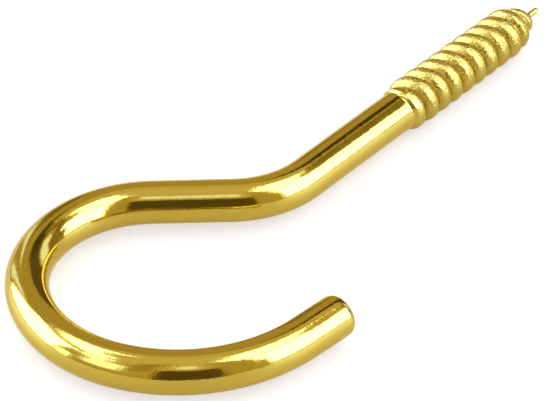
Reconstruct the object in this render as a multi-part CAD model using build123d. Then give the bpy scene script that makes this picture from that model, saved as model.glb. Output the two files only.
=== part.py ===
from build123d import *
import math
import os

# The wire and its bends, measured along the middle of the wire
wire_diameter = 4.9
plain_shank_length = 16.7
neck_bend_radius = 11.2
neck_bend_angle = 48.0
rise_length = 9.2
hook_bend_radius = 13.5
hook_bend_angle = 102.0
bowl_bend_radius = 15.8
bowl_bend_angle = 53.0
end_bend_radius = 18.8
end_bend_angle = 68.0
end_straight_length = 6.0
end_edge_radius = 1.0

# The rolled thread, a little higher where it leaves the shank than where its point begins
thread_pitch = 2.28
thread_length = 20.4
thread_start_angle = 13.0
root_radius = 2.35
shoulder_length = 1.4
crest_radius_at_shank = 3.1
crest_radius_at_point = 2.96
run_in_length = 1.8
run_in_height_share = 0.2
ridge_width_share = 0.92
flat_top_share = 0.5
sunk_depth = 0.12
foot_spread_share = 0.7

# The gimlet point, full at first and then steeper, and the nib left at its end
point_length = 4.65
point_fullness = 1.5
crest_radius_at_nib = 0.75
ridge_width_at_nib_share = 0.5
nib_length = 1.75
nib_radius = 0.36

# How finely the winding of the ridge and the sides of the point are laid out
profiles_per_turn = 12
cone_steps = 4

# Middle line of the bent wire, from the end of the shank round to the cut end
neck = JernArc((-plain_shank_length, 0), (-1, 0), neck_bend_radius, -neck_bend_angle)
rise = Line(neck @ 1, neck @ 1 + (neck % 1) * rise_length)
hook = JernArc(rise @ 1, rise % 1, hook_bend_radius, hook_bend_angle)
bowl = JernArc(hook @ 1, hook % 1, bowl_bend_radius, bowl_bend_angle)
end_bend = JernArc(bowl @ 1, bowl % 1, end_bend_radius, end_bend_angle)
end_run = Line(end_bend @ 1, end_bend @ 1 + (end_bend % 1) * end_straight_length)
middle_line = Wire([neck, rise, hook, bowl, end_bend, end_run])

# Bent wire with the edge of its cut end rounded off
wire_radius = wire_diameter / 2
wire_section = Plane(neck @ 0, z_dir=neck % 0) * Circle(wire_radius)
bent_wire = sweep(wire_section, path=middle_line)
cut_end = bent_wire.faces().sort_by_distance(end_run @ 1)[0]
bent_wire = fillet(cut_end.edges(), end_edge_radius)


# A size at a length along the thread, where it holds to the point and then narrows to the nib
def narrowed(along, before, at_nib):
    share = min(max((along - thread_length) / point_length, 0), 1) ** point_fullness
    return before + share * (at_nib - before)


# Radius at the root of the thread
def root_at(along):
    return narrowed(along, root_radius, nib_radius)


# Straight shank, root of the thread, cone of the point and round-ended nib
nib_start = thread_length + point_length
tip = nib_start + nib_length
point_steps = [thread_length + point_length * step / cone_steps for step in range(cone_steps + 1)]
shaft_sides = Polyline(
    (tip, 0),
    (-plain_shank_length, 0),
    (-plain_shank_length, wire_radius),
    (0, wire_radius),
    (shoulder_length, root_radius),
    *[(along, root_at(along)) for along in point_steps],
    (tip - nib_radius, nib_radius),
)
nib_round = CenterArc((tip - nib_radius, 0), nib_radius, 0, 90)
shaft = revolve(make_face([*shaft_sides.edges(), nib_round]), Axis.X)


# Radius at the crest of the ridge, which grows out of the shank and wears a little along the thread
def crest_at(along):
    worn = (crest_radius_at_shank - crest_radius_at_point) * min(along / thread_length, 1)
    full = narrowed(along, crest_radius_at_shank - worn, crest_radius_at_nib)
    grown = min(run_in_height_share + (1 - run_in_height_share) * along / run_in_length, 1)
    return root_at(along) + grown * (full - root_at(along))


# Profile of the ridge: a flat top and two flanks that sink into the root
def ridge_profile(turns):
    along = turns * thread_pitch
    half_width = thread_pitch * narrowed(along, ridge_width_share, ridge_width_at_nib_share) / 2
    half_top = half_width * flat_top_share
    half_foot = half_width + sunk_depth * foot_spread_share
    profile = Polyline(
        (half_top, crest_at(along)),
        (half_foot, root_at(along + half_width) - sunk_depth),
        (-half_foot, root_at(along - half_width) - sunk_depth),
        (-half_top, crest_at(along)),
        close=True,
    )
    turned = math.radians(thread_start_angle + 360 * turns)
    sideways = (0, -math.sin(turned), math.cos(turned))
    radial_plane = Plane((along, 0, 0), x_dir=(1, 0, 0), z_dir=sideways)
    return radial_plane * make_face(profile.edges())


# Ridge wound from one turn of the thread to another, in stretches of about a turn
def wound_ridge(first_turn, last_turn):
    stretch_count = math.ceil(last_turn - first_turn)
    stretch_turns = (last_turn - first_turn) / stretch_count
    stretches = []
    for stretch in range(stretch_count):
        start = first_turn + stretch * stretch_turns
        steps = [stretch_turns * step / profiles_per_turn for step in range(profiles_per_turn + 1)]
        stretches.append(loft([ridge_profile(start + step) for step in steps]))
    return stretches


# Ridge laid on the shaft a stretch at a time, first along the thread and then down the point
turns_to_point = thread_length / thread_pitch
turns_to_nib = nib_start / thread_pitch
screw = shaft
for stretch in wound_ridge(0, turns_to_point) + wound_ridge(turns_to_point, turns_to_nib):
    screw = screw + stretch

# One piece of wire
cup_hook = bent_wire + screw
os.makedirs("parts", exist_ok=True)
export_step(cup_hook, "parts/hook.step")
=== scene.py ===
# %% [markdown]
# # A brass-plated cup hook
# A cup hook is one length of round steel wire. A machine rolls a wood thread on one end, bends the rest
# into an open loop, and a plating bath gives it a thin bright coat of brass. The CAD part gives the frame:
# the hook lies flat, its shank runs along X with the point at the plus end, and Z is up. Everything here is
# in metres. The box of the CAD part is kept, and the floor is laid at its bottom.

# %% Load the frame
import math

import bpy
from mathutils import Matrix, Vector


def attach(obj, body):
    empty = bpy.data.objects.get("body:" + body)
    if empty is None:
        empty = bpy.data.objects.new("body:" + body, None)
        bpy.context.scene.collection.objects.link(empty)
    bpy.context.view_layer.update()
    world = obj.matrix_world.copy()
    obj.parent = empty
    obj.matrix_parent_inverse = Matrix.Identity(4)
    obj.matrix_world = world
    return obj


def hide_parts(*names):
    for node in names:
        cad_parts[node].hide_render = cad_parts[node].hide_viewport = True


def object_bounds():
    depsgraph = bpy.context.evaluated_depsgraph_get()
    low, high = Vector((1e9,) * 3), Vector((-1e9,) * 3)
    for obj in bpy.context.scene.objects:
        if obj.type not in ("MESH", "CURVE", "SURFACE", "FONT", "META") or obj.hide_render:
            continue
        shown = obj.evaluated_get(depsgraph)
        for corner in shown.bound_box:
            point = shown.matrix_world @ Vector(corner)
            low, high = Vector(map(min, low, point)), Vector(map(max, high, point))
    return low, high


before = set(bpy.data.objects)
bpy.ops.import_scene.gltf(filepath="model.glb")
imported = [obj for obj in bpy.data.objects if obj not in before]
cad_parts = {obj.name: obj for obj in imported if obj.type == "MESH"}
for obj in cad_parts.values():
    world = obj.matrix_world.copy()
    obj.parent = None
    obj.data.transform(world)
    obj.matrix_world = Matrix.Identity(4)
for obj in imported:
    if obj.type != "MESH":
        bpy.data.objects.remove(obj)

cad_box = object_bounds()
mm = 0.001
print("nodes:", sorted(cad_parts))
print("box:", [tuple(round(v / mm, 2) for v in corner) for corner in cad_box])

# %% [markdown]
# ## Small helpers for node trees
# A node tree is a sum written as boxes and lines. These helpers put down one box at a time: `feed` puts a
# number or another box's result into a socket, `calc` adds a Math node and `vector` joins three numbers.
# They keep the trees below short enough to read as formulas.


# %% Helpers for node trees
def feed(tree, socket, value):
    if isinstance(value, bpy.types.NodeSocket):
        tree.links.new(value, socket)
    else:
        socket.default_value = value


def calc(tree, operation, *values):
    node = tree.nodes.new("ShaderNodeMath")
    node.operation = operation
    for socket, value in zip(node.inputs, values):
        feed(tree, socket, value)
    return node.outputs[0]


def vector(tree, x, y, z):
    node = tree.nodes.new("ShaderNodeCombineXYZ")
    for socket, value in zip(node.inputs, (x, y, z)):
        feed(tree, socket, value)
    return node.outputs[0]


def add_vectors(tree, first, second):
    node = tree.nodes.new("ShaderNodeVectorMath")
    node.operation = "ADD"
    feed(tree, node.inputs[0], first)
    feed(tree, node.inputs[1], second)
    return node.outputs[0]


def stretch(tree, vector_socket, factor):
    node = tree.nodes.new("ShaderNodeVectorMath")
    node.operation = "SCALE"
    feed(tree, node.inputs[0], vector_socket)
    feed(tree, node.inputs["Scale"], factor)
    return node.outputs[0]


def between(tree, value, start, end, first, last, smooth=False):
    node = tree.nodes.new("ShaderNodeMapRange")
    node.interpolation_type = "SMOOTHSTEP" if smooth else "LINEAR"
    for socket, given in zip(node.inputs, (value, start, end, first, last)):
        feed(tree, socket, given)
    return node.outputs[0]


print("helpers ready")

# %% [markdown]
# ## The sizes of the wire
# These follow the CAD part: how far the wire runs straight, how tightly and how far it turns at each bend,
# and the pitch and heights of its thread. Only the ridge differs a little, because the CAD part gives it a
# flat top and here its crest is round. The bends are listed in order from the screw: a small turn one way
# sets the loop in line with the shank, and three turns the other way, each a little wider than the one
# before, open the loop into its mouth.

# %% Sizes of the hook
sizes = {
    "Wire Radius": 2.45 * mm,
    "Shank Length": 16.7 * mm,
    "Neck Radius": 11.2 * mm,
    "Neck Angle": math.radians(-48.0),
    "Rise Length": 9.2 * mm,
    "Hook Radius": 13.5 * mm,
    "Hook Angle": math.radians(102.0),
    "Bowl Radius": 15.8 * mm,
    "Bowl Angle": math.radians(53.0),
    "End Radius": 18.8 * mm,
    "End Angle": math.radians(68.0),
    "End Length": 6.0 * mm,
    "Edge Radius": 1.0 * mm,
    "Pitch": 2.28 * mm,
    "Thread Length": 20.4 * mm,
    "Start Turn": 13.0 / 360.0,
    "Root Radius": 2.35 * mm,
    "Shoulder Length": 0.7 * mm,
    "Crest At Shank": 3.08 * mm,
    "Crest At Point": 2.95 * mm,
    "Run In Length": 1.8 * mm,
    "Ridge Width": 0.95,
    "Crest Fullness": 3.0,
    "Point Length": 4.65 * mm,
    "Point Fullness": 1.5,
    "Crest At Nib": 0.72 * mm,
    "Ridge Width At Nib": 0.5,
    "Run Out Length": 0.7 * mm,
    "Nib Length": 1.75 * mm,
    "Nib Radius": 0.36 * mm,
}
print(len(sizes), "sizes")

# %% [markdown]
# ## One stage of the bent wire
# A bent wire is a chain of straight runs and arcs. Each stage takes the point and the heading where the
# last one stopped, travels its own length and turns by its own angle. An arc is walked along its chord, so
# the same sum does for a straight run, where the turn is nought. As a node group, it is built once and
# placed for each stage.


# %% Node group for a stage of the wire
def bend_stage_group():
    tree = bpy.data.node_groups.new("Wire stage", "GeometryNodeTree")
    for name, kind in (
        ("Travel", "Float"),
        ("Start", "Float"),
        ("Length", "Float"),
        ("Turn", "Float"),
        ("Heading", "Float"),
        ("Point", "Vector"),
    ):
        tree.interface.new_socket(name=name, in_out="INPUT", socket_type="NodeSocket" + kind)
    for name, kind in (("End", "Float"), ("Heading", "Float"), ("Point", "Vector")):
        tree.interface.new_socket(name=name, in_out="OUTPUT", socket_type="NodeSocket" + kind)
    given = tree.nodes.new("NodeGroupInput").outputs
    past = calc(tree, "SUBTRACT", given["Travel"], given["Start"])
    share = between(tree, past, 0.0, given["Length"], 0.0, 1.0)
    turned = calc(tree, "MULTIPLY", share, given["Turn"])
    half = calc(tree, "MULTIPLY", turned, 0.5)
    safe = calc(tree, "MAXIMUM", calc(tree, "ABSOLUTE", half), 1e-4)
    shortened = calc(tree, "DIVIDE", calc(tree, "SINE", safe), safe)
    walked = calc(tree, "MULTIPLY", share, given["Length"])
    chord = calc(tree, "MULTIPLY", walked, shortened)
    middle = calc(tree, "ADD", given["Heading"], half)
    step = vector(tree, calc(tree, "COSINE", middle), calc(tree, "SINE", middle), 0.0)
    result = tree.nodes.new("NodeGroupOutput").inputs
    feed(tree, result["End"], calc(tree, "ADD", given["Start"], given["Length"]))
    feed(tree, result["Heading"], calc(tree, "ADD", given["Heading"], turned))
    feed(tree, result["Point"], add_vectors(tree, given["Point"], stretch(tree, step, chord)))
    return tree


wire_stage = bend_stage_group()
print(wire_stage.name, len(wire_stage.nodes), "nodes")

# %% [markdown]
# ## The radius of the screw
# Rolling squeezes the metal out of a groove and up into a ridge, so the thread stands proud of the wire
# that it was rolled on. Round the screw, the ridge is one crest that climbs a pitch with every turn. At any
# place on the skin, the sum below asks how far the nearest crest is, in shares of a turn, and gives the
# radius there: a full round crest that falls off more steeply to the root on either side. Over the last
# stretch, root and crest shrink to the nib. At the other end the edge of the rolling die leaves a crisp rim
# where the plain shank stops.


# %% Node group for the radius of the screw
die_edge_start = -0.05 * mm
die_edge_end = 0.1 * mm
run_in_start = -1.0 * mm
root_blend = 0.04 * mm
shoulder_power = 2.0


def screw_radius_group():
    tree = bpy.data.node_groups.new("Screw radius", "GeometryNodeTree")
    names = ("Along", "Turn Share", "Wire Radius", "Pitch", "Thread Length", "Start Turn", "Root Radius")
    names += ("Shoulder Length", "Crest At Shank", "Crest At Point", "Run In Length", "Ridge Width")
    names += ("Crest Fullness", "Point Length", "Point Fullness", "Crest At Nib", "Ridge Width At Nib")
    names += ("Run Out Length", "Nib Radius")
    for name in names:
        tree.interface.new_socket(name=name, in_out="INPUT", socket_type="NodeSocketFloat")
    tree.interface.new_socket(name="Radius", in_out="OUTPUT", socket_type="NodeSocketFloat")
    given = tree.nodes.new("NodeGroupInput").outputs
    along = given["Along"]
    climbed = calc(tree, "DIVIDE", along, given["Pitch"])
    phase = calc(tree, "SUBTRACT", calc(tree, "ADD", climbed, given["Start Turn"]), given["Turn Share"])
    beside = calc(tree, "SUBTRACT", phase, calc(tree, "ROUND", phase))
    crest_along = calc(tree, "SUBTRACT", along, calc(tree, "MULTIPLY", beside, given["Pitch"]))
    point_end = calc(tree, "ADD", given["Thread Length"], given["Point Length"])
    narrowed = between(tree, along, given["Thread Length"], point_end, 0.0, 1.0)
    narrowed = calc(tree, "POWER", narrowed, given["Point Fullness"])
    crest_narrowed = between(tree, crest_along, given["Thread Length"], point_end, 0.0, 1.0)
    crest_narrowed = calc(tree, "POWER", crest_narrowed, given["Point Fullness"])
    root = between(tree, narrowed, 0.0, 1.0, given["Root Radius"], given["Nib Radius"])
    crest_root = between(tree, crest_narrowed, 0.0, 1.0, given["Root Radius"], given["Nib Radius"])
    crest_wear_and_groove_shade = between(
        tree, crest_along, 0.0, given["Thread Length"], given["Crest At Shank"], given["Crest At Point"]
    )
    crest = between(tree, crest_narrowed, 0.0, 1.0, crest_wear_and_groove_shade, given["Crest At Nib"])
    full_height = calc(tree, "SUBTRACT", crest, crest_root)
    die_edge = between(tree, along, die_edge_start, die_edge_end, 0.0, 1.0, smooth=True)
    run_in = between(tree, crest_along, run_in_start, given["Run In Length"], 0.0, 1.0)
    run_in = calc(tree, "MULTIPLY", run_in, die_edge)
    run_out_start = calc(tree, "SUBTRACT", point_end, given["Run Out Length"])
    run_out = between(tree, crest_along, run_out_start, point_end, 1.0, 0.0, smooth=True)
    height = calc(tree, "MULTIPLY", full_height, calc(tree, "MULTIPLY", run_in, run_out))
    width = between(tree, crest_narrowed, 0.0, 1.0, given["Ridge Width"], given["Ridge Width At Nib"])
    foot = calc(tree, "MULTIPLY", width, 0.5)
    away = calc(tree, "MINIMUM", calc(tree, "DIVIDE", calc(tree, "ABSOLUTE", beside), foot), 1.0)
    rise = calc(tree, "SUBTRACT", 1.0, calc(tree, "POWER", away, given["Crest Fullness"]))
    ridge = calc(tree, "ADD", root, calc(tree, "MULTIPLY", height, rise))
    drop = calc(tree, "SUBTRACT", given["Wire Radius"], given["Root Radius"])
    shoulder_share = calc(tree, "MAXIMUM", calc(tree, "DIVIDE", along, given["Shoulder Length"]), 0.0)
    shoulder_drop = calc(tree, "MULTIPLY", calc(tree, "POWER", shoulder_share, shoulder_power), drop)
    shoulder = calc(tree, "SUBTRACT", given["Wire Radius"], shoulder_drop)
    result = tree.nodes.new("NodeGroupOutput").inputs
    feed(tree, result["Radius"], calc(tree, "SMOOTH_MAX", ridge, shoulder, root_blend))
    return tree


screw_radius = screw_radius_group()
print(screw_radius.name, len(screw_radius.nodes), "nodes")

# %% [markdown]
# ## The skin of the whole hook
# The hook is one skin over one wire, so it starts as a flat grid: one direction becomes the way along the
# wire and the other the way round it. The rings are set close on the screw, where the ridge is fine, wider
# on the smooth wire, and close again on the rounded edge of the cut end. The nib and that edge are quarter
# rounds. Walked by its angle, a quarter round goes quickly at first in one direction and slowly in the other.

# %% Rings along the wire
side_count = 96
ring_stages = {"nib": 10, "screw": 420, "wire": 240, "edge": 12, "end": 6}
ring_total = sum(ring_stages.values())
quarter_turn = math.pi / 2


def ring_progress(tree, ring):
    progress = {}
    first = 0.0
    for name, count in ring_stages.items():
        progress[name] = between(tree, ring, first, first + count, 0.0, 1.0)
        first += count
    return progress


def quarter_round(tree, share):
    angle = calc(tree, "MULTIPLY", share, quarter_turn)
    quick_first = calc(tree, "SINE", angle)
    slow_first = calc(tree, "SUBTRACT", 1.0, calc(tree, "COSINE", angle))
    return quick_first, slow_first


print(ring_total + 1, "rings of", side_count, "sides")

# %% [markdown]
# ## Along the wire
# The wire is straight through the screw and the shank, and then it bends and runs on as the sizes say. The
# length of a bend is its radius times its angle. Every ring gets its travel, which is the length of wire
# between it and the tip, from how far it has come through the nib, the screw, the smooth wire and the
# rounded edge.


# %% Runs of the wire and the travel of a ring
def wire_runs(tree, given, screw_length):
    runs = [(calc(tree, "ADD", screw_length, given["Shank Length"]), 0.0)]
    for bend, run in (("Neck", "Rise Length"), ("Hook", None), ("Bowl", None), ("End", "End Length")):
        angle = given[bend + " Angle"]
        swing = calc(tree, "ABSOLUTE", angle)
        runs.append((calc(tree, "MULTIPLY", given[bend + " Radius"], swing), angle))
        if run:
            runs.append((given[run], 0.0))
    return runs


def ring_travel(tree, given, progress, screw_length, runs):
    total = runs[0][0]
    for length, _ in runs[1:]:
        total = calc(tree, "ADD", total, length)
    _, nib_share = quarter_round(tree, progress["nib"])
    nib_run = calc(tree, "MULTIPLY", given["Nib Radius"], nib_share)
    past_nib_length = calc(tree, "SUBTRACT", screw_length, given["Nib Radius"])
    screw_run = calc(tree, "MULTIPLY", progress["screw"], past_nib_length)
    wire_length = calc(tree, "SUBTRACT", calc(tree, "SUBTRACT", total, screw_length), given["Edge Radius"])
    wire_run = calc(tree, "MULTIPLY", progress["wire"], wire_length)
    edge_share, _ = quarter_round(tree, progress["edge"])
    edge_run = calc(tree, "MULTIPLY", given["Edge Radius"], edge_share)
    return calc(tree, "ADD", calc(tree, "ADD", nib_run, screw_run), calc(tree, "ADD", wire_run, edge_run))


print("travel along the wire ready")

# %% [markdown]
# ## The middle of the bent wire
# The stages are placed in a chain from the tip. Each one hands its end, its heading and its point to the
# next, so the last one knows where a ring sits, whatever run or bend it is on.


# %% Chain of the stages
def bent_middle(tree, runs, travel, tip):
    point = vector(tree, tip, 0.0, 0.0)
    heading = math.pi
    start = 0.0
    for length, turn in runs:
        stage = tree.nodes.new("GeometryNodeGroup")
        stage.node_tree = wire_stage
        for name, value in (("Travel", travel), ("Start", start), ("Length", length), ("Turn", turn)):
            feed(tree, stage.inputs[name], value)
        feed(tree, stage.inputs["Heading"], heading)
        feed(tree, stage.inputs["Point"], point)
        start, heading, point = stage.outputs["End"], stage.outputs["Heading"], stage.outputs["Point"]
    return point, heading


print("middle of the wire ready")

# %% [markdown]
# ## Out from the middle
# On most rings the skin stands off by the radius of the screw, which is the plain wire's radius away from
# the thread. The nib has a round end, so its first rings grow from nought. At the cut end, the rounded edge
# draws the skin in and the last rings close the flat face.


# %% Radius of the skin
def skin_radius(tree, given, progress, ring, along, round_share):
    screw = tree.nodes.new("GeometryNodeGroup")
    screw.node_tree = screw_radius
    feed(tree, screw.inputs["Along"], along)
    feed(tree, screw.inputs["Turn Share"], calc(tree, "SUBTRACT", 0.5, round_share))
    for socket in screw.inputs:
        if socket.name in sizes:
            feed(tree, socket, given[socket.name])
    nib_share, _ = quarter_round(tree, progress["nib"])
    nib_radius = calc(tree, "MULTIPLY", given["Nib Radius"], nib_share)
    _, edge_share = quarter_round(tree, progress["edge"])
    edge_drop = calc(tree, "MULTIPLY", given["Edge Radius"], edge_share)
    body_radius = calc(tree, "SUBTRACT", screw.outputs["Radius"], edge_drop)
    body_radius = calc(tree, "MULTIPLY", body_radius, calc(tree, "SUBTRACT", 1.0, progress["end"]))
    past_nib = calc(tree, "GREATER_THAN", ring, ring_stages["nib"] - 0.5)
    return between(tree, past_nib, 0.0, 1.0, nib_radius, body_radius)


def skin_offset(tree, radius, round_share, heading):
    around = calc(tree, "MULTIPLY", round_share, 2 * math.pi)
    sideways = calc(tree, "MULTIPLY", radius, calc(tree, "COSINE", around))
    upwards = calc(tree, "MULTIPLY", radius, calc(tree, "SINE", around))
    left_x = calc(tree, "MULTIPLY", calc(tree, "SINE", heading), -1.0)
    left_y = calc(tree, "COSINE", heading)
    across_x = calc(tree, "MULTIPLY", sideways, left_x)
    across_y = calc(tree, "MULTIPLY", sideways, left_y)
    return vector(tree, across_x, across_y, upwards)


print("radius of the skin ready")

# %% [markdown]
# ## The closed skin
# With every point in its place, the grid is a tube whose seam only touches and whose first and last rings
# have shrunk to a point. Points that lie together are merged, which closes the seam and both ends. The tree
# then shades the skin smooth and gives it its finish.

# %% Closing of the skin
seam_gap = 1e-7


def closed_skin(tree, grid_mesh, position, finish):
    place = tree.nodes.new("GeometryNodeSetPosition")
    feed(tree, place.inputs["Geometry"], grid_mesh)
    feed(tree, place.inputs["Position"], position)
    joined = tree.nodes.new("GeometryNodeMergeByDistance")
    feed(tree, joined.inputs["Geometry"], place.outputs["Geometry"])
    feed(tree, joined.inputs["Distance"], seam_gap)
    smooth = tree.nodes.new("GeometryNodeSetShadeSmooth")
    feed(tree, smooth.inputs["Geometry"], joined.outputs["Geometry"])
    realized = tree.nodes.new("GeometryNodeRealizeInstances")
    feed(tree, realized.inputs["Geometry"], smooth.outputs["Geometry"])
    dressed = tree.nodes.new("GeometryNodeSetMaterial")
    feed(tree, dressed.inputs["Geometry"], realized.outputs["Geometry"])
    feed(tree, dressed.inputs["Material"], finish)
    return dressed.outputs["Geometry"]


print("closing of the skin ready")

# %% [markdown]
# ## The tree of the hook
# The tree has an input for each size and one for the finish. It lays the grid, asks the sums above where
# each of its points belongs, and closes the skin.


# %% Tree of the hook
def hook_tree():
    tree = bpy.data.node_groups.new("Bent wire with a rolled thread", "GeometryNodeTree")
    tree.interface.new_socket(name="Geometry", in_out="OUTPUT", socket_type="NodeSocketGeometry")
    for name in sizes:
        tree.interface.new_socket(name=name, in_out="INPUT", socket_type="NodeSocketFloat")
    tree.interface.new_socket(name="Finish", in_out="INPUT", socket_type="NodeSocketMaterial")
    given = tree.nodes.new("NodeGroupInput").outputs
    grid = tree.nodes.new("GeometryNodeMeshGrid")
    for socket, value in zip(grid.inputs, (1.0, 1.0, ring_total + 1, side_count + 1)):
        socket.default_value = value
    spot = tree.nodes.new("ShaderNodeSeparateXYZ")
    feed(tree, spot.inputs[0], tree.nodes.new("GeometryNodeInputPosition").outputs[0])
    ring = calc(tree, "MULTIPLY", calc(tree, "ADD", spot.outputs[0], 0.5), float(ring_total))
    round_share = calc(tree, "ADD", spot.outputs[1], 0.5)
    progress = ring_progress(tree, ring)
    screw_length = calc(tree, "ADD", given["Thread Length"], given["Point Length"])
    screw_length = calc(tree, "ADD", screw_length, given["Nib Length"])
    runs = wire_runs(tree, given, screw_length)
    travel = ring_travel(tree, given, progress, screw_length, runs)
    along = calc(tree, "SUBTRACT", screw_length, travel)
    middle, heading = bent_middle(tree, runs, travel, screw_length)
    radius = skin_radius(tree, given, progress, ring, along, round_share)
    position = add_vectors(tree, middle, skin_offset(tree, radius, round_share, heading))
    result = tree.nodes.new("NodeGroupOutput").inputs
    feed(tree, result["Geometry"], closed_skin(tree, grid.outputs["Mesh"], position, given["Finish"]))
    return tree


skin_tree = hook_tree()
print(skin_tree.name, len(skin_tree.nodes), "nodes")

# %% [markdown]
# ## The finish of the plate
# Brass plate takes the surface that it is laid on. Drawn wire is nearly smooth, so its plate is a bright
# mirror with only a faint ripple, like the skin of an orange. The thread was rolled between rough dies, so
# its plate is grainy: it scatters what it mirrors into small sparkles. The groove is painted a little darker,
# as painted shade for the shadow that falls in it. The group below works these out from the place on the
# hook: past the start of the thread the grain grows, and near the axis the groove gets the painted shade,
# up to the point, where the whole screw comes near the axis.


# %% Node group for the finish of the plate
thread_grain_start = 0.2 * mm
thread_grain_full = 1.2 * mm
# the painted groove shade fades out over the point, where the whole screw comes near the axis
groove_fade_start = 19.0 * mm
groove_fade_end = 21.0 * mm
patch_noise_low, patch_noise_high = 0.35, 0.65
patch_gloss_share, patch_dull_share = 0.75, 1.25
surface_noises = {"ripple": (1.1 * mm, 2.0), "grain": (0.24 * mm, 2.0), "patches": (1.6 * mm, 1.0)}


def plate_finish_group():
    tree = bpy.data.node_groups.new("Plate finish", "ShaderNodeTree")
    tree.interface.new_socket(name="Place", in_out="INPUT", socket_type="NodeSocketVector")
    for name in ("Wire Roughness", "Thread Roughness", "Ripple", "Grain", "Wire Grain", "Groove", "Crest"):
        tree.interface.new_socket(name=name, in_out="INPUT", socket_type="NodeSocketFloat")
    for name in ("Roughness", "Height", "Lacquer", "Out Of Painted Groove Shade"):
        tree.interface.new_socket(name=name, in_out="OUTPUT", socket_type="NodeSocketFloat")
    given = tree.nodes.new("NodeGroupInput").outputs
    spot = tree.nodes.new("ShaderNodeSeparateXYZ")
    feed(tree, spot.inputs[0], given["Place"])
    on_thread = between(
        tree, spot.outputs[0], thread_grain_start, thread_grain_full, 0.0, 1.0, smooth=True
    )
    noises = {}
    for name, (feature, detail) in surface_noises.items():
        noise = tree.nodes.new("ShaderNodeTexNoise")
        feed(tree, noise.inputs["Vector"], given["Place"])
        feed(tree, noise.inputs["Scale"], 1.0 / feature)
        feed(tree, noise.inputs["Detail"], detail)
        noises[name] = noise.outputs[0]
    squares = [calc(tree, "POWER", spot.outputs[axis], 2.0) for axis in (1, 2)]
    off_axis = calc(tree, "SQRT", calc(tree, "ADD", *squares))
    # painted shade: this mask is 0 in the groove, near the axis, and 1 on the crests; it brings in the dark
    # groove colour that stands in for shadow
    crest_wear_and_groove_shade = between(tree, off_axis, given["Groove"], given["Crest"], 0.0, 1.0, smooth=True)
    at_point = between(
        tree, spot.outputs[0], groove_fade_start, groove_fade_end, 0.0, 1.0, smooth=True
    )
    patch = between(
        tree, noises["patches"], patch_noise_low, patch_noise_high, patch_gloss_share, patch_dull_share
    )
    plain = between(tree, on_thread, 0.0, 1.0, given["Wire Roughness"], given["Thread Roughness"])
    ripple = calc(tree, "MULTIPLY", noises["ripple"], given["Ripple"])
    grain_depth = between(tree, on_thread, 0.0, 1.0, given["Wire Grain"], given["Grain"])
    grain = calc(tree, "MULTIPLY", noises["grain"], grain_depth)
    result = tree.nodes.new("NodeGroupOutput").inputs
    feed(tree, result["Roughness"], calc(tree, "MULTIPLY", plain, patch))
    feed(tree, result["Height"], calc(tree, "ADD", ripple, grain))
    feed(tree, result["Lacquer"], calc(tree, "SUBTRACT", 1.0, on_thread))
    feed(tree, result["Out Of Painted Groove Shade"], calc(tree, "MAXIMUM", crest_wear_and_groove_shade, at_point))
    return tree


plate_finish = plate_finish_group()
print(plate_finish.name, len(plate_finish.nodes), "nodes")

# %% [markdown]
# ## Brass plate under clear lacquer
# Bright brass plate is a mirror with a warm colour: it has no colour of its own beyond what it does to
# reflections. A Principled shader with Metallic at 1 gives that, the base colour tints what it mirrors, and
# a low roughness keeps the edges of the lamps soft but clear. A thin clear lacquer keeps the plate bright.
# The finish group feeds the roughness, the height of the grain and the colour, which is a little paler on
# the crests of the thread and darker in its groove, where the darker colour is painted shade.


# %% Material of the plated wire
wire_brass = (0.52, 0.35, 0.038, 1.0)
crest_brass = (0.49, 0.335, 0.055, 1.0)
# painted shade: the dark groove colour stands in for the shadow that falls in the groove of the thread
painted_groove_shade_brass = (0.24, 0.14, 0.012, 1.0)
grazing_brass = (0.95, 0.85, 0.55, 1.0)
lacquer_weight = 0.25
lacquer_roughness = 0.05
bump_step = 0.001 * mm
finish_values = {
    "Wire Roughness": 0.1,
    "Thread Roughness": 0.16,
    "Ripple": 14.0,
    "Grain": 130.0,
    "Wire Grain": 7.0,
    "Groove": 2.35 * mm,
    "Crest": 2.5 * mm,
}


def plate_material():
    material = bpy.data.materials.new("brass_plate")
    material.use_nodes = True
    tree = material.node_tree
    shader = tree.nodes["Principled BSDF"]
    finish = tree.nodes.new("ShaderNodeGroup")
    finish.node_tree = plate_finish
    feed(tree, finish.inputs["Place"], tree.nodes.new("ShaderNodeTexCoord").outputs["Object"])
    for name, value in finish_values.items():
        finish.inputs[name].default_value = value
    # the thread colour runs from the painted groove shade near the axis to the crest colour further out
    thread_colour = tree.nodes.new("ShaderNodeMix")
    thread_colour.data_type = "RGBA"
    feed(tree, thread_colour.inputs["Factor"], finish.outputs["Out Of Painted Groove Shade"])
    feed(tree, thread_colour.inputs["A"], painted_groove_shade_brass)
    feed(tree, thread_colour.inputs["B"], crest_brass)
    colour = tree.nodes.new("ShaderNodeMix")
    colour.data_type = "RGBA"
    feed(tree, colour.inputs["Factor"], finish.outputs["Lacquer"])
    feed(tree, colour.inputs["A"], thread_colour.outputs["Result"])
    feed(tree, colour.inputs["B"], wire_brass)
    bump = tree.nodes.new("ShaderNodeBump")
    feed(tree, bump.inputs["Height"], finish.outputs["Height"])
    feed(tree, bump.inputs["Distance"], bump_step)
    feed(tree, shader.inputs["Base Color"], colour.outputs["Result"])
    feed(tree, shader.inputs["Roughness"], finish.outputs["Roughness"])
    feed(tree, shader.inputs["Normal"], bump.outputs["Normal"])
    lacquer = calc(tree, "MULTIPLY", finish.outputs["Lacquer"], lacquer_weight)
    feed(tree, shader.inputs["Coat Weight"], lacquer)
    shader.inputs["Metallic"].default_value = 1.0
    shader.inputs["Specular Tint"].default_value = grazing_brass
    shader.inputs["Coat Roughness"].default_value = lacquer_roughness
    return material


brass_plate = plate_material()
print(brass_plate.name)

# %% [markdown]
# ## From tree to plain mesh
# The tree hangs on an empty mesh as a modifier. Its inputs are set by identifier before anything is worked
# out, and the finished skin is then read off as a plain mesh, so no modifier is left on the piece. The new
# piece takes the place of the CAD hook and rides on the part's one body.


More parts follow.
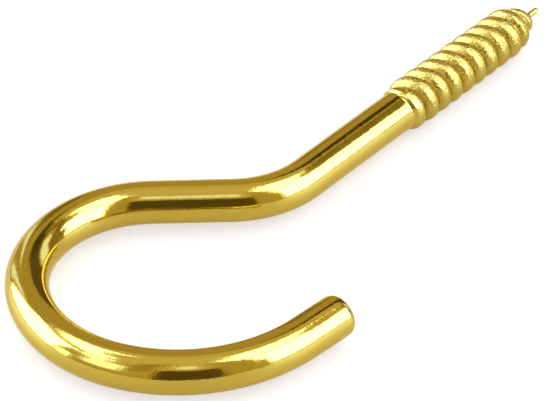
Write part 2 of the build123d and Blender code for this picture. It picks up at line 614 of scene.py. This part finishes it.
# %% Make the hook
def make_hook():
    carrier = bpy.data.objects.new("skin_carrier", bpy.data.meshes.new("skin_carrier"))
    bpy.context.scene.collection.objects.link(carrier)
    modifier = carrier.modifiers.new("skin", "NODES")
    modifier.node_group = skin_tree
    values = dict(sizes, Finish=brass_plate)
    for item in skin_tree.interface.items_tree:
        if item.in_out == "INPUT":
            modifier[item.identifier] = values[item.name]
    graph = bpy.context.evaluated_depsgraph_get()
    mesh = bpy.data.meshes.new_from_object(carrier.evaluated_get(graph), depsgraph=graph)
    bpy.data.objects.remove(carrier)
    mesh.name = "plated_hook"
    piece = bpy.data.objects.new("plated_hook", mesh)
    bpy.context.scene.collection.objects.link(piece)
    return piece


plated_hook = make_hook()
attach(plated_hook, "root")
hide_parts("hook")
print(plated_hook.name, len(plated_hook.data.vertices), "points", len(plated_hook.data.polygons), "faces")

# %% [markdown]
# ## The floor
# The hook lies on a plain white table with a slight sheen. Its colour is the white of the background. What
# the camera itself sees gets a little more light of its own, so that the table reaches plain white as in a
# catalogue picture, while the soft shadow under the wire stays. The metal sees a little of that light too.


# %% Floor
floor_reach = 3.0
table_white = (0.9, 0.9, 0.9, 1.0)
table_roughness = 0.5
table_sheen = 0.5
table_glow = (0.98, 1.02, 1.15, 1.0)
glow_for_camera = 0.45
glow_for_metal = 0.3


def make_floor():
    mesh = bpy.data.meshes.new("floor")
    level = cad_box[0][2]
    corners = [(x * floor_reach, y * floor_reach, level) for x, y in ((-1, -1), (1, -1), (1, 1), (-1, 1))]
    mesh.from_pydata(corners, [], [(0, 1, 2, 3)])
    piece = bpy.data.objects.new("floor", mesh)
    bpy.context.scene.collection.objects.link(piece)
    material = bpy.data.materials.new("white_table")
    material.use_nodes = True
    tree = material.node_tree
    shader = tree.nodes["Principled BSDF"]
    shader.inputs["Base Color"].default_value = table_white
    shader.inputs["Roughness"].default_value = table_roughness
    shader.inputs["Specular IOR Level"].default_value = table_sheen
    shader.inputs["Emission Color"].default_value = table_glow
    path = tree.nodes.new("ShaderNodeLightPath").outputs
    for_camera = calc(tree, "MULTIPLY", path["Is Camera Ray"], glow_for_camera)
    for_metal = calc(tree, "MULTIPLY", path["Is Glossy Ray"], glow_for_metal)
    feed(tree, shader.inputs["Emission Strength"], calc(tree, "ADD", for_camera, for_metal))
    mesh.materials.append(material)
    return piece


floor = make_floor()
print(floor.name, "at", round(cad_box[0][2] / mm, 2), "mm")

# %% [markdown]
# ## The studio that the metal mirrors
# Polished metal shows the room. The bands on the wire are the studio: two big softboxes, one on each side,
# with bright strips over them, a small lamp above the camera, and dark gaps where the room shows behind the
# camera and at the far side. The studio is painted on the world as soft-edged panels, each a stretch of
# azimuth and elevation. A node group paints one panel over what is there already, so the list below reads
# as a lighting plan.


# %% Node group for one panel of the studio
def studio_panel_group():
    tree = bpy.data.node_groups.new("Studio panel", "ShaderNodeTree")
    places = ("Azimuth", "Elevation", "Middle", "Half Width", "Low", "High", "Soft Edge")
    for name in ("Light", *places, "Level"):
        tree.interface.new_socket(name=name, in_out="INPUT", socket_type="NodeSocketFloat")
    tree.interface.new_socket(name="Light", in_out="OUTPUT", socket_type="NodeSocketFloat")
    given = tree.nodes.new("NodeGroupInput").outputs
    soft = given["Soft Edge"]
    off_middle = calc(tree, "SUBTRACT", given["Azimuth"], given["Middle"])
    away = calc(tree, "ABSOLUTE", calc(tree, "WRAP", off_middle, math.pi, -math.pi))
    masks = []
    for value, edge, inside, outside in (
        (away, given["Half Width"], 1.0, 0.0),
        (given["Elevation"], given["Low"], 0.0, 1.0),
        (given["Elevation"], given["High"], 1.0, 0.0),
    ):
        start = calc(tree, "SUBTRACT", edge, soft)
        end = calc(tree, "ADD", edge, soft)
        masks.append(between(tree, value, start, end, inside, outside, smooth=True))
    mask = calc(tree, "MULTIPLY", calc(tree, "MULTIPLY", masks[0], masks[1]), masks[2])
    change = calc(tree, "SUBTRACT", given["Level"], given["Light"])
    result = tree.nodes.new("NodeGroupOutput").inputs
    feed(tree, result["Light"], calc(tree, "MULTIPLY_ADD", mask, change, given["Light"]))
    return tree


studio_panel = studio_panel_group()
print(studio_panel.name, len(studio_panel.nodes), "nodes")

# %% [markdown]
# ## The lighting plan
# A photographer plans the lights by what the metal will mirror. Each line below is one panel: where it
# starts and ends in azimuth and in elevation, how soft its edge is, all in degrees, and how bright it is.
# The places were chosen so that the bands fall on the wire as they do in the photograph. Later
# lines paint over earlier ones.

# %% The lighting plan
lighting_plan = {
    "far wall": (27, 92, 0, 52, 3, 0.68),
    "near wall, shaded": (-178, -160, 32, 80, 5, 0.55),
    "near side wall": (-117, -90, -2, 74, 5, 0.75),
    "left frame": (-91, -40, 52, 64, 1.5, 1.4),
    "left top strip": (-90, -4, 59.5, 78, 2.0, 5.0),
    "left glow": (-92, -44, -3, 9, 2.0, 1.25),
    "left softbox": (-90, -44, 7, 56, 1.5, 6.5),
    "left dark gap": (-43, -16, 4, 49, 2.5, 0.4),
    "left softbox, far edge": (-48, -35, 32, 46, 2.0, 6.5),
    "far bright gap": (-17, -2, 6, 40, 2.5, 1.6),
    "far top edge": (-24, 6, 47, 55, 2.0, 0.36),
    "right dark gap": (1, 28, -2, 48, 2.0, 0.18),
    "right dark gap, top": (12, 36, 39, 51, 1.5, 0.09),
    "far edge": (51, 59, -4, 32, 1.5, 0.33),
    "far slit": (61, 67, 4, 33, 2.0, 1.4),
    "right inner slit": (78, 86, 4, 38, 2.0, 1.5),
    "right top strip": (67, 150, 56, 68, 2.5, 5.0),
    "right top tail": (148, 167, 43, 60, 4.0, 3.0),
    "right top tail, low": (162, 184, 18, 46, 5.0, 2.6),
    "right softbox": (91, 142, 4, 48, 1.5, 6.5),
    "right small panel": (145, 154, 2, 22, 1.5, 3.0),
    "dark room at the camera": (-155, -116, -3, 47, 2.0, 0.15),
    "camera lamp": (-145, -128, 56, 68, 3.5, 1.6),
}
print(len(lighting_plan), "panels")

# %% [markdown]
# ## The colour of the light
# In the photograph the metal runs from brown through gold to pale lemon as it gets brighter. One brass
# colour under white light can't do all three, so the light is tinted by its own level: dim panels are warm
# and bright ones are cool. This is a setting chosen for the picture, and nothing that is known of the real
# room. Each line gives a level and the tint there. A colour ramp stops at one, so levels and tints are
# scaled down for it and back up after it.

# %% Colours of the light by its level
lamp_colours = {
    0.2: (1.0, 0.82, 0.4),
    0.85: (1.0, 0.89, 0.55),
    1.0: (1.0, 1.0, 1.0),
    1.4: (1.0, 1.32, 3.0),
    2.0: (1.0, 1.3, 2.4),
}
ramp_level = 2.0
ramp_tint = 4.0
print(len(lamp_colours), "colours")

# %% [markdown]
# ## The world
# The room starts as a plain light that grows from the horizon upwards, and the panels are painted over it
# in turn. Only mirrored rays see the panels. All else gets an even white, so the table and the shadow stay
# plain.


# %% World
horizon_level, zenith_level = 0.75, 1.0
zenith_start = math.radians(80)
plain_level, backdrop_level = 0.8, 1.0
white = (1.0, 1.0, 1.0, 1.0)


def make_world():
    world = bpy.data.worlds.new("studio")
    bpy.context.scene.world = world
    world.use_nodes = True
    tree = world.node_tree
    looked = tree.nodes.new("ShaderNodeSeparateXYZ")
    feed(tree, looked.inputs[0], tree.nodes.new("ShaderNodeTexCoord").outputs["Generated"])
    azimuth = calc(tree, "ARCTAN2", looked.outputs[1], looked.outputs[0])
    elevation = calc(tree, "ARCSINE", looked.outputs[2])
    light = between(tree, elevation, 0.0, zenith_start, horizon_level, zenith_level)
    for name, (start, end, low, high, soft, level) in lighting_plan.items():
        panel = tree.nodes.new("ShaderNodeGroup")
        panel.node_tree = studio_panel
        panel.label = name
        feed(tree, panel.inputs["Light"], light)
        feed(tree, panel.inputs["Azimuth"], azimuth)
        feed(tree, panel.inputs["Elevation"], elevation)
        panel.inputs["Middle"].default_value = math.radians((start + end) / 2)
        panel.inputs["Half Width"].default_value = math.radians((end - start) / 2)
        panel.inputs["Low"].default_value = math.radians(low)
        panel.inputs["High"].default_value = math.radians(high)
        panel.inputs["Soft Edge"].default_value = math.radians(soft)
        panel.inputs["Level"].default_value = level
        light = panel.outputs["Light"]
    path = tree.nodes.new("ShaderNodeLightPath").outputs
    mirrored = calc(tree, "MAXIMUM", path["Is Glossy Ray"], path["Is Transmission Ray"])
    plain = between(tree, path["Is Camera Ray"], 0.0, 1.0, plain_level, backdrop_level)
    shown = between(tree, mirrored, 0.0, 1.0, plain, light)
    ramp = tree.nodes.new("ShaderNodeValToRGB")
    feed(tree, ramp.inputs[0], calc(tree, "DIVIDE", light, ramp_level))
    stops = ramp.color_ramp.elements
    for place, (level, tint) in enumerate(lamp_colours.items()):
        stop = stops[place] if place < len(stops) else stops.new(level / ramp_level)
        stop.position = level / ramp_level
        stop.color = [share / ramp_tint for share in tint] + [1.0]
    colour = tree.nodes.new("ShaderNodeMix")
    colour.data_type = "RGBA"
    feed(tree, colour.inputs["Factor"], mirrored)
    feed(tree, colour.inputs["A"], white)
    feed(tree, colour.inputs["B"], stretch(tree, ramp.outputs["Color"], ramp_tint))
    background = tree.nodes["Background"]
    feed(tree, background.inputs["Color"], colour.outputs["Result"])
    feed(tree, background.inputs["Strength"], shown)
    return world


studio = make_world()
print(studio.name, len(studio.node_tree.nodes), "nodes")

# %% [markdown]
# ## The camera
# The photograph looks down on the hook from beyond its loop with a long lens, so the far end is hardly
# smaller. The camera aims at a spot near the middle of the hook. Its heading, tilt, roll, distance and lens
# were fitted to the outline of the hook, together with its bends.

# %% Camera
from mathutils import Matrix

aimed_at = (-22.04 * mm, 0.06 * mm, 0.0)
camera_heading = math.radians(41.1)
camera_tilt = math.radians(38.24)
camera_roll = math.radians(-0.8)
camera_distance = 362.7 * mm
camera_lens = 211.05
camera_sensor = 36.0
nearest_seen = 0.01

camera = bpy.data.objects.new("camera", bpy.data.cameras.new("camera"))
bpy.context.scene.collection.objects.link(camera)
camera.data.lens = camera_lens
camera.data.sensor_width = camera_sensor
camera.data.sensor_fit = "HORIZONTAL"
camera.data.clip_start = nearest_seen
headed = Matrix.Rotation(camera_heading - quarter_turn, 4, "Z")
tilted = Matrix.Rotation(quarter_turn - camera_tilt, 4, "X")
rolled = Matrix.Rotation(camera_roll, 4, "Z")
drawn_back = Matrix.Translation((0.0, 0.0, camera_distance))
camera.matrix_world = Matrix.Translation(aimed_at) @ headed @ tilted @ rolled @ drawn_back
bpy.context.scene.camera = camera
bpy.context.scene.view_settings.view_transform = "Standard"
print("camera at", tuple(round(v, 3) for v in camera.location))
